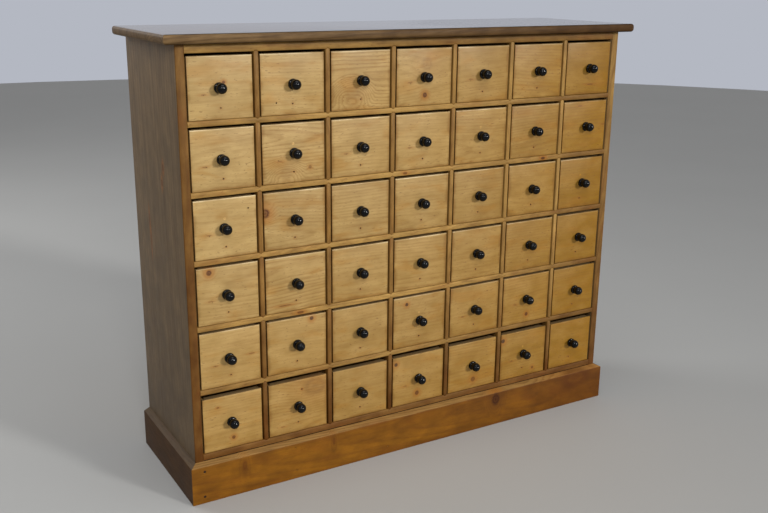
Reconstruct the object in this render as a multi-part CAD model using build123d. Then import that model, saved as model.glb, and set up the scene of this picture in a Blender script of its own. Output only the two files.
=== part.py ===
from build123d import *
import os
from math import cos, radians, sin, tau

# Seed storage cabinet: a standing pine case that holds a grid of small drawers.
# Millimetres. +Z up, the drawers open towards -Y, the origin is the middle of the floor area.

# ---- Driving dimensions ----

drawer_rows = 6
drawer_columns = 7
inner_opening_w = 158.4     # opening for a drawer in the middle columns
outer_opening_w = 151.0     # the first and last columns are a little narrower
opening_h = 138.4
bottom_row_headroom = 6.6   # the drawers are all as high, the bottom row's openings are higher

side_thickness = 20.0
divider_thickness = 11.0
shelf_thickness = 12.5
bottom_thickness = 22.0
back_thickness = 12.0
case_depth = 342.0          # front edges of the boards to the back of the case

top_rail_h = 19.5
top_rail_depth = 70.0
top_thickness = 20.0
top_overhang_front = 24.0
top_overhang_side = 30.0
top_edge_round = 7.0

plinth_h = 92.0             # floor to the outer edge of the splay
plinth_thickness = 15.0
plinth_splay_rise = 7.0     # the splay climbs this far from the outer edge to the case
base_reveal = 16.5          # edge of the bottom board that shows above the plinth

housing_depth = 6.0         # shelf ends let into the sides
housing_stop = 14.0         # the housings stop this far behind the front edge
point_depth = 3.0           # pointed divider ends let into V grooves
back_rebate = 10.0          # width of the side's rebate for the back boards
back_board_count = 7
back_lap = 6.0              # half-lap between neighbouring back boards

glue_block_leg = 28.0
glue_block_length = 60.0
front_glue_block_count = 3
side_glue_block_count = 2

front_thickness = 16.0
front_lip = 6.0             # wood left in front of the rebates that take the sides
front_ease = 1.5            # chamfer round the face of a drawer front
front_setback = 1.5         # drawer face behind the front edges of the case
drawer_side_gap = 3.5
drawer_top_gap = 6.0        # above the drawers of every row but the bottom one
drawer_run_gap = 0.4        # running clearance under a drawer
drawer_back_gap = 0.5       # a closed drawer stops just short of the back boards
drawer_side_thickness = 8.0
drawer_side_drop = 3.0      # the sides are this much lower than the front
drawer_back_thickness = 8.0
drawer_back_drop = 5.0      # the back is this much lower than the sides
drawer_bottom_thickness = 5.0
drawer_bottom_lap = 4.0     # how far the bottom laps under the sides

knob_sides = 12
knob_ball_d = 23.0
knob_neck_d = 13.0
knob_collar_d = 23.5
knob_collar_edge = 2.2      # straight edge of the collar
knob_neck_at = 5.0          # middle of the neck, from the drawer face
knob_reach = 28.0           # drawer face to the tip of the knob
knob_tip_d = 8.0            # flat tip of the turned ball
knob_ball_step = 32.0       # angle in degrees between the ball's rings

# ---- Places worked out from the dimensions ----

case_w = (
    2 * side_thickness
    + 2 * outer_opening_w
    + (drawer_columns - 2) * inner_opening_w
    + (drawer_columns - 1) * divider_thickness
)
half_w = case_w / 2
half_inner = half_w - side_thickness

knob_stand_out = knob_reach - front_setback
front_stand_out = max(knob_stand_out, top_overhang_front, plinth_thickness)
case_front = front_stand_out - (front_stand_out + case_depth) / 2
case_back = case_front + case_depth
back_face = case_back - back_thickness

plinth_top = plinth_h + plinth_splay_rise
bottom_top = plinth_top + base_reveal
bottom_under = bottom_top - bottom_thickness
row_pitch = opening_h + shelf_thickness
rail_under = bottom_top + bottom_row_headroom + drawer_rows * row_pitch - shelf_thickness
case_top = rail_under + top_rail_h


def opening_x(column):
    """Left and right edge of the openings in a column, counted from 1 at the left."""
    left = -half_inner
    for number in range(1, column):
        left += (outer_opening_w if number == 1 else inner_opening_w) + divider_thickness
    narrow = column in (1, drawer_columns)
    return left, left + (outer_opening_w if narrow else inner_opening_w)


def floor_z(row):
    """Height of the board that a row of drawers runs on, counted from 1 at the top."""
    if row == drawer_rows:
        return bottom_top
    return rail_under + shelf_thickness - row * row_pitch


def ceiling_z(row):
    """Height of the board above a row of drawers."""
    return rail_under if row == 1 else floor_z(row - 1) - shelf_thickness


divider_places = [
    opening_x(column)[1] + divider_thickness / 2 for column in range(1, drawer_columns)
]


# ---- Helpers ----

def block(x0, x1, y0, y1, z0, z1):
    """A squared board between two corners."""
    low = (Align.MIN, Align.MIN, Align.MIN)
    return Pos(x0, y0, z0) * Box(x1 - x0, y1 - y0, z1 - z0, align=low)


def prism(points, length):
    """A moulding: the outline through the points, run for a length."""
    return extrude(make_face(Polyline(*points, close=True)), amount=length.length, dir=length)


def share_middles(start, end, count):
    """Middles of the equal shares of a stretch."""
    return [start + (end - start) * (number + 0.5) / count for number in range(count)]


def save(name, solids):
    """One sub-part: a single solid, or a group of separate ones."""
    solids = solids if isinstance(solids, list) else [solids]
    whole = solids[0] if len(solids) == 1 else Compound(children=solids)
    whole.label = name
    export_step(whole, "parts/" + name + ".step")


# ---- Joinery of the case ----

def v_groove(x, z, direction, y0, y1):
    """Groove for a pointed divider end, cut into a face at height z."""
    half = divider_thickness / 2
    tip = (x, y0, z + direction * point_depth)
    return prism([(x - half, y0, z), (x + half, y0, z), tip], Vector(0, y1 - y0, 0))


def housed_board(z0, thickness, y0, y1, stopped, grooves_above, grooves_below):
    """A board housed in both sides, with V grooves for the divider ends."""
    half = half_inner + housing_depth
    cuts = []
    if stopped:
        for side in (-1, 1):
            ends = sorted((side * half_inner, side * half))
            cuts.append(block(ends[0], ends[1], y0, y0 + housing_stop, z0, z0 + thickness))
    for x in divider_places:
        if grooves_above:
            cuts.append(v_groove(x, z0 + thickness, -1, y0, y1))
        if grooves_below:
            cuts.append(v_groove(x, z0, 1, y0, y1))
    return block(-half, half, y0, y1, z0, z0 + thickness) - cuts


def make_shelf(row):
    """The shelf under a row: its front edge runs right through between the sides."""
    z0 = floor_z(row) - shelf_thickness
    return housed_board(z0, shelf_thickness, case_front, back_face, True, True, True)


def make_bottom_board():
    return housed_board(bottom_under, bottom_thickness, case_front, back_face, True, True, False)


def make_top_rail_front():
    end = case_front + top_rail_depth
    return housed_board(rail_under, top_rail_h, case_front, end, True, False, True)


def make_top_rail_back():
    start = back_face - top_rail_depth
    return housed_board(rail_under, top_rail_h, start, back_face, False, False, True)


def make_side(side):
    """A side: stopped housings inside, a rebate for the back boards behind."""
    outer = side * half_w
    inner = side * half_inner
    deep = side * (half_inner + housing_depth)
    board = sorted((inner, outer))
    groove = sorted((inner, deep))
    stop = case_front + housing_stop
    rail_back = back_face - top_rail_depth
    cuts = [block(groove[0], groove[1], stop, back_face, bottom_under, bottom_top)]
    for row in range(1, drawer_rows):
        top = floor_z(row)
        cuts.append(block(groove[0], groove[1], stop, back_face, top - shelf_thickness, top))
    cuts.append(
        block(groove[0], groove[1], stop, case_front + top_rail_depth, rail_under, case_top)
    )
    cuts.append(block(groove[0], groove[1], rail_back, back_face, rail_under, case_top))
    rebate = sorted((inner, side * (half_inner + back_rebate)))
    cuts.append(block(rebate[0], rebate[1], back_face, case_back, 0, case_top))
    return block(board[0], board[1], case_front, case_back, 0, case_top) - cuts


def make_divider(x, row):
    """An upright board between two drawers, pointed at both ends."""
    half = divider_thickness / 2
    low = floor_z(row)
    high = ceiling_z(row)
    outline = [
        (x - half, case_front, low),
        (x, case_front, low - point_depth),
        (x + half, case_front, low),
        (x + half, case_front, high),
        (x, case_front, high + point_depth),
        (x - half, case_front, high),
    ]
    return prism(outline, Vector(0, back_face - case_front, 0))


def make_back_boards():
    """Upright boards in the rebates, each half-lapped over the next."""
    span = 2 * (half_inner + back_rebate)
    width = span / back_board_count
    middle = (back_face + case_back) / 2
    boards = []
    for number in range(back_board_count):
        left = -span / 2 + number * width
        right = left + width
        tongue = right + (back_lap if number < back_board_count - 1 else 0)
        recess = left + (back_lap if number > 0 else 0)
        board = block(left, right, middle, case_back, bottom_under, case_top)
        board += block(recess, tongue, back_face, middle, bottom_under, case_top)
        boards.append(board.clean())
    return boards


# ---- Top and plinth ----

def make_top_board():
    """The overhanging top, rounded along the front and both ends, flush at the back."""
    reach = half_w + top_overhang_side
    front = case_front - top_overhang_front
    top = block(-reach, reach, front, case_back, case_top, case_top + top_thickness)
    rims = [
        edge
        for face in top.faces().filter_by(Axis.Z)
        for edge in face.edges()
        if edge.center().Y < case_back - top_edge_round
    ]
    return fillet(rims, top_edge_round)


def plinth_outline(depth_of):
    """Outline of the plinth: upright outer face and a splayed top against the case."""
    return [
        depth_of(0, 0),
        depth_of(plinth_thickness, 0),
        depth_of(plinth_thickness, plinth_h),
        depth_of(0, plinth_top),
    ]


def make_plinth_front():
    """The front of the plinth, mitred at both corners."""
    reach = half_w + plinth_thickness
    outline = plinth_outline(lambda out, z: (-reach, case_front - out, z))
    board = prism(outline, Vector(2 * reach, 0, 0))
    for side in (-1, 1):
        mitre = Plane(origin=(side * half_w, case_front, 0), z_dir=(side, 1, 0))
        board = split(board, bisect_by=mitre, keep=Keep.BOTTOM)
    return board


def make_plinth_side(side):
    """A return of the plinth, mitred to the front and square at the back."""
    start = case_front - plinth_thickness
    outline = plinth_outline(lambda out, z: (side * (half_w + out), start, z))
    board = prism(outline, Vector(0, case_back - start, 0))
    mitre = Plane(origin=(side * half_w, case_front, 0), z_dir=(side, 1, 0))
    return split(board, bisect_by=mitre, keep=Keep.TOP)


def make_plinth_back():
    """The plain rail that closes the base behind, in the same rebates as the back boards."""
    reach = half_inner + back_rebate
    return block(-reach, reach, back_face, case_back, 0, bottom_under)


def make_glue_blocks():
    """Three-cornered blocks under the bottom board, on the plinth front and on both sides."""
    leg = glue_block_leg
    blocks = []
    for middle in share_middles(-half_inner, half_inner, front_glue_block_count):
        start = middle - glue_block_length / 2
        outline = [
            (start, case_front, bottom_under),
            (start, case_front + leg, bottom_under),
            (start, case_front, bottom_under - leg),
        ]
        blocks.append(prism(outline, Vector(glue_block_length, 0, 0)))
    for side in (-1, 1):
        for middle in share_middles(case_front, back_face, side_glue_block_count):
            start = middle - glue_block_length / 2
            outline = [
                (side * half_inner, start, bottom_under),
                (side * (half_inner - leg), start, bottom_under),
                (side * half_inner, start, bottom_under - leg),
            ]
            blocks.append(prism(outline, Vector(0, glue_block_length, 0)))
    return blocks


# ---- Drawers ----

drawer_face = case_front + front_setback
drawer_end = back_face - drawer_back_gap
front_h = opening_h - drawer_top_gap - drawer_run_gap
drawer_side_h = front_h - drawer_side_drop


def make_drawer_front(width):
    """The front: rebated at both ends for the sides and below for the bottom."""
    half = width / 2
    inner = half - drawer_side_thickness
    rebate_y = drawer_face + front_lip
    back = drawer_face + front_thickness
    lap = drawer_bottom_thickness
    board = block(-half, half, drawer_face, back, 0, front_h)
    face = board.faces().sort_by(Axis.Y)[0]
    board = chamfer(face.edges(), front_ease)
    cuts = [
        block(-half, -inner, rebate_y, back, 0, front_h),
        block(inner, half, rebate_y, back, 0, front_h),
        block(-inner, inner, rebate_y, back, 0, lap),
    ]
    return board - cuts


def make_drawer_side(width, side):
    """A side, nailed in the rebate of the front and rebated below for the bottom."""
    outer = side * width / 2
    inner = side * (width / 2 - drawer_side_thickness)
    lap = side * (width / 2 - drawer_side_thickness + drawer_bottom_lap)
    start = drawer_face + front_lip
    outline = [
        (outer, start, 0),
        (lap, start, 0),
        (lap, start, drawer_bottom_thickness),
        (inner, start, drawer_bottom_thickness),
        (inner, start, drawer_side_h),
        (outer, start, drawer_side_h),
    ]
    return prism(outline, Vector(0, drawer_end - start, 0))


def make_drawer_back(width):
    """The back, between the sides and on top of the bottom."""
    inner = width / 2 - drawer_side_thickness
    low = drawer_bottom_thickness
    high = drawer_side_h - drawer_back_drop
    return block(-inner, inner, drawer_end - drawer_back_thickness, drawer_end, low, high)


def make_drawer_bottom(width):
    """The bottom, nailed up into the rebates of the sides and the front."""
    reach = width / 2 - drawer_side_thickness + drawer_bottom_lap
    start = drawer_face + front_lip
    return block(-reach, reach, start, drawer_end, 0, drawer_bottom_thickness)


def faceted_turning(rings, place):
    """A turned piece with flat facets, from the radius and the reach of each ring."""

    def corners(radius, reach):
        turns = share_middles(0, tau, knob_sides)
        return [place + Vector(radius * cos(t), -reach, radius * sin(t)) for t in turns]

    def facet(points):
        return Face(Wire.make_polygon(points))

    faces = [facet(corners(*rings[0])), facet(corners(*rings[-1]))]
    for near, far in zip(rings, rings[1:]):
        a = corners(*near)
        b = corners(*far)
        for number in range(knob_sides):
            after = (number + 1) % knob_sides
            faces.append(facet([a[number], a[after], b[after], b[number]]))
    return Solid(Shell(faces))


def make_knob(x):
    """A turned knob: a collar on the drawer face, a short neck and a ball."""
    ball_r = knob_ball_d / 2
    ball_at = knob_reach - ball_r
    rings = [
        (knob_collar_d / 2, 0),
        (knob_collar_d / 2, knob_collar_edge),
        (knob_neck_d / 2, knob_neck_at),
    ]
    for turn in (-knob_ball_step, 0, knob_ball_step):
        rings.append((ball_r * cos(radians(turn)), ball_at + ball_r * sin(radians(turn))))
    rings.append((knob_tip_d / 2, knob_reach))
    return faceted_turning(rings, Vector(x, drawer_face, front_h / 2))


def knob_offset(column):
    """Knobs keep one pitch right across, so the outer ones stand off the drawer's middle."""
    if column == 1:
        return (outer_opening_w - inner_opening_w) / 2
    if column == drawer_columns:
        return (inner_opening_w - outer_opening_w) / 2
    return 0.0


def make_drawer(column, row):
    """All pieces of one drawer, each its own solid."""
    left, right = opening_x(column)
    width = right - left - 2 * drawer_side_gap
    place = Pos((left + right) / 2, 0, floor_z(row) + drawer_run_gap)
    pieces = [
        make_drawer_front(width),
        make_drawer_side(width, -1),
        make_drawer_side(width, 1),
        make_drawer_back(width),
        make_drawer_bottom(width),
        make_knob(knob_offset(column)),
    ]
    return [place * piece for piece in pieces]


# ---- Sub-parts ----

os.makedirs("parts", exist_ok=True)

save("top_board", make_top_board())
save("side_panel_left", make_side(-1))
save("side_panel_right", make_side(1))
save("bottom_board", make_bottom_board())
save("top_rail_front", make_top_rail_front())
save("top_rail_back", make_top_rail_back())
for row in range(1, drawer_rows):
    save(f"shelf_{row}", make_shelf(row))
save(
    "dividers",
    [make_divider(x, row) for row in range(1, drawer_rows + 1) for x in divider_places],
)
save("back_boards", make_back_boards())
save("plinth_front", make_plinth_front())
save("plinth_left", make_plinth_side(-1))
save("plinth_right", make_plinth_side(1))
save("plinth_back", make_plinth_back())
save("glue_blocks", make_glue_blocks())
for row in range(1, drawer_rows + 1):
    for column in range(1, drawer_columns + 1):
        save(f"drawer_r{row}_c{column}", make_drawer(column, row))
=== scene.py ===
"""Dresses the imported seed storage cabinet: modelled boards, turned knobs and waxed pine.

Metres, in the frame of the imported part: +Z up, and the drawers open towards -Y.
"""

import math
import random
from contextlib import contextmanager

import bmesh
import bpy
from bpy.props import FloatProperty, FloatVectorProperty, PointerProperty
from mathutils import Matrix, Vector


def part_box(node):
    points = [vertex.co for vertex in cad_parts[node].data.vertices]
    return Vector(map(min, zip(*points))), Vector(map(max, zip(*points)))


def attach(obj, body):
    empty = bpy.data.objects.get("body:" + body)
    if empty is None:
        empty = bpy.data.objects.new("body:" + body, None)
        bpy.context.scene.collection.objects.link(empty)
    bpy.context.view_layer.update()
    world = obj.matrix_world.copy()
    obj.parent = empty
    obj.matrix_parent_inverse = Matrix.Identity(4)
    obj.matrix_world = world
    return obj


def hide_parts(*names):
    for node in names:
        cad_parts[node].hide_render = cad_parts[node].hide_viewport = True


bl_info = {
    "name": "Seed storage cabinet",
    "version": (1, 0, 0),
    "blender": (4, 5, 0),
    "location": "View3D > Sidebar > Cabinet",
    "description": "Models the boards, drawers and knobs of a seed storage cabinet",
    "category": "Add Mesh",
}

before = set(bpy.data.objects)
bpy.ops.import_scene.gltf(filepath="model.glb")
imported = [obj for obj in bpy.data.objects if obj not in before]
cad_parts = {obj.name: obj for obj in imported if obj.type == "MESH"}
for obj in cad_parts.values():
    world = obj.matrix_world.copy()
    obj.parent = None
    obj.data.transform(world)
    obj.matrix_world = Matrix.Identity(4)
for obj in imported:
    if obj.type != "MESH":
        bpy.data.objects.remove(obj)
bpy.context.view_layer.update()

MM = 0.001
TINY = 0.01 * MM
X, Y, Z = 0, 1, 2

# ---- Places read from the frame ----

ROWS = 6
COLUMNS = 7
CASE = "carcass"
SHELVES = [f"shelf_{row}" for row in range(1, ROWS)]
FRONT_HALF = (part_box("drawer_r1_c4")[1].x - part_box("drawer_r1_c4")[0].x) / 2

LEFT_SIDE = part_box("side_panel_left")
RIGHT_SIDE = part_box("side_panel_right")
CASE_FRONT = LEFT_SIDE[0].y
CASE_BACK = LEFT_SIDE[1].y
HALF_WIDTH = RIGHT_SIDE[1].x
HALF_INNER = RIGHT_SIDE[0].x
BACK_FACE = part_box("shelf_1")[1].y


def drawer_name(row, column):
    return f"drawer_r{row}_c{column}"


def divider_places():
    """Middle of each upright divider, half way between two neighbouring drawers."""
    boxes = [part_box(drawer_name(1, column)) for column in range(1, COLUMNS + 1)]
    return [(left[1].x + right[0].x) / 2 for left, right in zip(boxes, boxes[1:])]


def row_heights(row):
    """Floor and ceiling of a row of openings, at the middle of its front edges."""
    floor_board = "bottom_board" if row == ROWS else f"shelf_{row}"
    ceiling_board = "top_rail_front" if row == 1 else f"shelf_{row - 1}"
    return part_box(floor_board)[1].z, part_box(ceiling_board)[0].z


# ---- Sizes and colours that a user would change ----

def length(name, description, millimetres):
    return FloatProperty(
        name=name, description=description, default=millimetres * MM, min=0, unit="LENGTH"
    )


def linear(hex_colour):
    """Linear colour from an sRGB hex value."""
    parts = [int(hex_colour[place:place + 2], 16) / 255 for place in (1, 3, 5)]
    return [p / 12.92 if p <= 0.04045 else ((p + 0.055) / 1.055) ** 2.4 for p in parts]


def colour(name, description, hex_colour):
    return FloatVectorProperty(
        name=name, description=description, default=linear(hex_colour),
        min=0, max=1, subtype="COLOR",
    )


class CabinetSizes(bpy.types.PropertyGroup):
    """Sizes of the joints, edges and knobs"""

    front_lip: length("Front lip", "Wood in front of the rebates of a drawer front", 6)
    front_thickness: length("Front thickness", "Thickness of a drawer front", 16)
    front_ease: length("Front edge", "Rounding round the face of a drawer front", 1.8)
    drawer_side: length("Drawer side", "Thickness of the drawer sides and back", 8)
    drawer_bottom: length("Drawer bottom", "Thickness of a drawer bottom", 5)
    bottom_lap: length("Bottom lap", "How far the bottom laps under the drawer sides", 4)
    side_drop: length("Side drop", "The drawer sides are this much lower than the front", 3)
    back_drop: length("Back drop", "The drawer back is this much lower than the sides", 5)
    hole_radius: length("Pin hole", "Radius of an old pin hole in a front", 1.5)
    hole_depth: length("Pin hole depth", "Depth of an old pin hole", 4)
    plug_radius: length("Plug", "Radius of the pale plugs in the fronts", 3.2)
    divider: length("Divider", "Thickness of the upright dividers", 11)
    point_depth: length("Divider point", "Depth of the pointed divider ends", 3)
    board_ease: length("Board edge", "Rounding of the front edges of the shelves", 2.0)
    housing: length("Housing", "How far the shelves are let into the sides", 6)
    housing_stop: length("Housing stop", "The housings stop this far behind the front", 14)
    back_rebate: length("Back rebate", "Width of the rebate for the back boards", 10)
    top_round: length("Top edge", "Rounding of the edges of the top", 7)
    plinth: length("Plinth", "Thickness of the plinth boards", 15)
    plinth_splay: length("Splay", "Rise of the sloping top edge of the plinth", 7)
    collar_radius: length("Collar", "Radius of the collar of a knob", 11.75)
    collar_edge: length("Collar edge", "Thickness of the beaded collar", 6.5)
    collar_round: length("Collar rounding", "Rounding of the rim of the collar", 2.4)
    neck_radius: length("Neck", "Radius of the neck of a knob", 10.0)
    neck_reach: length("Neck reach", "Middle of the neck from the drawer face", 7.6)
    ball_radius: length("Ball", "Radius of the ball of a knob", 11.5)
    knob_reach: length("Knob reach", "From the drawer face to the tip of the knob", 28)


class CabinetColours(bpy.types.PropertyGroup):
    """Colours of the woods and the paint"""

    front: colour("Drawer fronts", "Waxed pine where daylight hasn't reached", "#966A0C")
    # painted sheen and light, mixed in towards the upper left
    front_pale: colour("Bleached fronts", "Waxed pine paled by daylight", "#B99A62")
    front_grain: colour("Front grain", "Late wood and streaks of the fronts", "#7E541A")
    front_amber: colour("Front stain", "Amber patches of the fronts", "#A06A14")
    # partly wear, partly a painted highlight along the rounded top edges of the fronts
    rubbed: colour("Rubbed edges", "Top edges of the fronts, rubbed by hands", "#E9D5A8")
    lattice: colour("Shelves", "Brown waxed pine of shelves and dividers", "#603808")
    # painted sheen and light, mixed in where the shelves and dividers get more light
    lattice_pale: colour("Bleached shelves", "The same wood paled by daylight", "#B68F4E")
    lattice_red: colour("Shelf stain", "Redder patches of the shelves", "#80481A")
    lattice_grain: colour("Shelf grain", "Late wood of the shelves", "#5A3510")
    sides: colour("Sides", "Dark stained pine of the sides", "#66533A")
    # painted light on the sides, which darken towards the foot as painted shade
    sides_pale: colour("Bleached sides", "The same wood paled by daylight", "#BB9868")
    sides_grain: colour("Side grain", "Late wood of the sides", "#5E472C")
    top: colour("Top", "Polished pine of the top", "#4A2F0E")
    # painted sheen and light, mixed in towards the left
    top_pale: colour("Bleached top", "Polished pine paled by daylight", "#7C6240")
    top_grain: colour("Top grain", "Late wood of the top", "#3E2810")
    # paler partly from wear, and partly as painted light on the up-facing slope
    splay: colour("Splay", "Worn sloping top of the plinth", "#9E7842")
    plinth: colour("Plinth", "Amber stained pine of the plinth", "#66390A")
    # painted sheen and light, mixed in towards the left and the middle
    plinth_pale: colour("Bleached plinth", "The same wood paled by daylight", "#8A5A12")
    plinth_red: colour("Plinth stain", "Redder patches of the plinth", "#744010")
    plinth_grain: colour("Plinth grain", "Late wood of the plinth", "#5A340E")
    # bare unwaxed wood, darker as painted shade of the gaps under the shelves
    soiled: colour("Front edges", "Bare edges of the fronts, greyed by handling", "#86704E")
    raw: colour("Unseen boards", "Unfinished pine of the back and the inside", "#B3935F")
    raw_grain: colour("Unseen grain", "Late wood of the unfinished pine", "#8E6A38")
    knot: colour("Knots", "Heart of a sound knot", "#54290A")
    knot_stain: colour("Knot stain", "Amber wood round a knot", "#A06018")
    dead_knot: colour("Dead knots", "Heart of a dark, loose knot", "#22130A")
    enamel: colour("Knobs", "Black enamel of the knobs", "#040404")
    # painted shade: the dark line in the joint above the plinth, and the side faces of the fronts in
    # the gaps
    grime: colour("Grime", "Dirt above the plinth and between the fronts", "#2C180A")
    steel: colour("Nails", "Dark nail heads of the plinth", "#3A2418")
    floor: colour("Floor", "Plain studio floor", "#BFBFBD")


# ---- Modelling by hand: one selected piece, one edit at a time ----

def only(piece):
    """Makes a piece the only one selected, so that an operator acts on nothing else."""
    bpy.ops.object.select_all(action="DESELECT")
    piece.select_set(True)
    bpy.context.view_layer.objects.active = piece


@contextmanager
def editing(piece):
    """Edit mode on one piece."""
    only(piece)
    bpy.ops.object.mode_set(mode="EDIT")
    yield
    bpy.ops.object.mode_set(mode="OBJECT")


def settle(piece, name):
    """Names a new piece and puts its place into its mesh."""
    piece.name = piece.data.name = name
    only(piece)
    bpy.ops.object.transform_apply(location=True, rotation=True, scale=True)
    return piece


def add_block(name, low, high):
    """A squared board between two corners, to be shaped further."""
    low, high = Vector(low), Vector(high)
    bpy.ops.object.select_all(action="DESELECT")
    bpy.ops.mesh.primitive_cube_add(size=1, location=(low + high) / 2, scale=high - low)
    return settle(bpy.context.object, name)


def add_pin(name, place, radius, deep, corners=12):
    """A round pin along Y, its middle at the place."""
    bpy.ops.object.select_all(action="DESELECT")
    bpy.ops.mesh.primitive_cylinder_add(
        vertices=corners, radius=radius, depth=deep, location=place, rotation=(math.pi / 2, 0, 0)
    )
    return settle(bpy.context.object, name)


def lies(part, axis, place):
    """Whether a vertex, an edge or a face lies wholly at one place along an axis."""
    corners = part.verts if hasattr(part, "verts") else [part]
    return all(abs(corner.co[axis] - place) < TINY for corner in corners)


def middle(part):
    corners = part.verts if hasattr(part, "verts") else [part]
    return sum((corner.co for corner in corners), Vector()) / len(corners)


def choose(piece, kind, test):
    """In edit mode, selects just the vertices, edges or faces that pass the test."""
    bpy.ops.mesh.select_mode(type=kind)
    bpy.ops.mesh.select_all(action="DESELECT")
    mesh = bmesh.from_edit_mesh(piece.data)
    parts = {"VERT": mesh.verts, "EDGE": mesh.edges, "FACE": mesh.faces}[kind]
    for part in parts:
        if test(part):
            part.select_set(True)
    mesh.select_flush_mode()
    bmesh.update_edit_mesh(piece.data)


def cut_line(axis, place):
    """In edit mode, scores a line round what is selected."""
    point = Vector()
    normal = Vector()
    point[axis] = place
    normal[axis] = 1
    bpy.ops.mesh.bisect(plane_co=point, plane_no=normal)


def trim(point, normal):
    """In edit mode, cuts away all that lies beyond a plane and closes the cut."""
    bpy.ops.mesh.select_all(action="SELECT")
    bpy.ops.mesh.bisect(plane_co=point, plane_no=normal, use_fill=True, clear_outer=True)


def pull_out(move):
    """In edit mode, extrudes the selected faces."""
    bpy.ops.mesh.extrude_region_move(TRANSFORM_OT_translate={"value": move})


def round_edges(width, steps=3):
    """In edit mode, rounds the selected edges."""
    bpy.ops.mesh.bevel(offset=width, segments=steps, profile=0.5, affect="EDGES")


def carve(piece, cutters):
    """Cuts pins or blocks out of a piece and removes them."""
    bpy.ops.object.select_all(action="DESELECT")
    for cutter in cutters:
        cutter.select_set(True)
    bpy.context.view_layer.objects.active = cutters[0]
    if len(cutters) > 1:
        bpy.ops.object.join()
    cutter = bpy.context.object
    only(piece)
    modifier = piece.modifiers.new("carve", "BOOLEAN")
    modifier.operation = "DIFFERENCE"
    modifier.solver = "EXACT"
    modifier.object = cutter
    bpy.ops.object.modifier_apply(modifier=modifier.name)
    bpy.data.objects.remove(cutter)


def copy_piece(source, name, move):
    """A copy with its own mesh, moved to its place."""
    only(source)
    bpy.ops.object.duplicate(linked=False)
    piece = bpy.context.object
    piece.location = move
    return settle(piece, name)


def merge_into(pieces):
    """Joins pieces into the first of them."""
    bpy.ops.object.select_all(action="DESELECT")
    for piece in pieces:
        piece.select_set(True)
    bpy.context.view_layer.objects.active = pieces[0]
    if len(pieces) > 1:
        bpy.ops.object.join()
    return bpy.context.object


def place_piece(piece, body, material, nodes=()):
    """Finishes a piece: smooth roundings, its material, its body and what it stands for."""
    only(piece)
    bpy.ops.object.shade_smooth_by_angle(angle=math.radians(35))
    piece.data.materials.clear()
    piece.data.materials.append(material)
    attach(piece, body)
    if nodes:
        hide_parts(*nodes)


def second_finish(piece, name, test):
    """Gives the faces that pass the test another finish."""
    piece.data.materials.append(finish_named(name))
    number = len(piece.data.materials) - 1
    for face in piece.data.polygons:
        if test(face):
            face.material_index = number


# ---- How a board was sawn from its tree, and its painted sheen and shade ----

KNOT_SLOTS = 4


def store_vectors(piece, name, rule):
    """Stores a vector for every vertex, so that a pattern follows the board."""
    layer = piece.data.attributes.new(name, "FLOAT_VECTOR", "POINT")
    values = [part for vertex in piece.data.vertices for part in rule(vertex.co)]
    layer.data.foreach_set("vector", values)


def share_between(value, start, end):
    """How far a value has gone from one place to another, from 0 to 1."""
    return min(max((value - start) / (end - start), 0), 1)


# Painted sheen and light on each kind of board: the share of its pale colour at the left, the middle
# and the right, the share of that at the foot, where the rest is painted shade, and the height in
# metres from which all of it shows.
PAINTED_LIGHT_SHARES = {
    "fronts": (1.0, 0.72, 0.0, 0.5, 0.62),
    "shelves": (0.65, 1.1, 0.25, 0.12, 0.34),
    "rail": (0.75, 0.55, 0.3, 1.0, 0.5),
    "dividers": (0.25, 0.55, 1.0, 0.05, 0.5),
    "sides": (0.3, 0.6, 0.8, 0.0, 1.0),
    "top": (0.9, 0.5, 0.0, 1.0, 0.5),
    "plinth": (0.65, 0.95, 0.1, 1.0, 0.5),
    "hidden": (0.0, 0.0, 0.0, 1.0, 0.5),
}

# Height in metres below which only the foot's share of painted light shows.
PAINTED_SHADE_HEIGHT = 0.1


def painted_light_share(point, kind):
    """Share of painted sheen and light at a point of a kind of board, less towards the foot as painted
    shade.
    """
    left, centre, right, foot, full_height = PAINTED_LIGHT_SHARES[kind]
    side = left if point.x < 0 else right
    across = centre + (side - centre) * min(abs(point.x) / HALF_WIDTH, 1)
    up = foot + (1 - foot) * share_between(point.z, PAINTED_SHADE_HEIGHT, full_height)
    return across * up


def saw_board(piece, along, face, kind, depth=(30, 90), knots=(), tone=0.05,
              figure=(0.2, 0.6), shade=1.0):
    """Gives a board its grain: it runs along one axis, and the pith lies behind the face.

    A knot is its middle, radius in mm and strength, and may go on with its stretch along the
    grain and how hard it pushes the rings aside. The strength is up to 1 for a sound knot and
    up to 2 for a dead one. The figure is how plainly the rings show.
    """
    chance = random.Random(piece.name)
    along = Vector(along)
    face = Vector(face)
    across = along.cross(face)
    start = sum((v.co for v in piece.data.vertices), Vector()) / len(piece.data.vertices)
    pith_deep = chance.uniform(*depth) * MM
    pith_across = chance.uniform(-60, 60) * MM
    slope_deep = chance.uniform(-0.09, 0.09)
    slope_across = chance.uniform(-0.05, 0.05)
    shift = chance.uniform(-5, 5)

    def grain(point):
        offset = point - start
        a = offset.dot(along)
        return (
            a + shift,
            offset.dot(across) - pith_across - slope_across * a,
            offset.dot(face) + pith_deep + slope_deep * a,
        )

    store_vectors(piece, "grain", grain)
    brightness = shade * (1 + chance.uniform(-tone, tone))
    figure_here = chance.uniform(*figure)
    # the board's brightness, how plainly its rings show, and its share of painted sheen and light
    store_vectors(
        piece, "board", lambda point: (brightness, figure_here, painted_light_share(point, kind))
    )
    for number in range(KNOT_SLOTS):
        spot, radius, strength, *shape = knots[number] if number < len(knots) else (start, 1, 0)
        stretch = shape[0] if shape else 1
        push = shape[1] if len(shape) > 1 else min(strength, 1)

        def from_knot(point):
            offset = (point - spot) / (radius * MM)
            return (offset.dot(along) / stretch, offset.dot(across), 0)

        store_vectors(piece, f"knot_{number}", from_knot)
        store_vectors(piece, f"knot_kind_{number}", lambda point: (strength, radius * MM, push))


# ---- Materials ----

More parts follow.
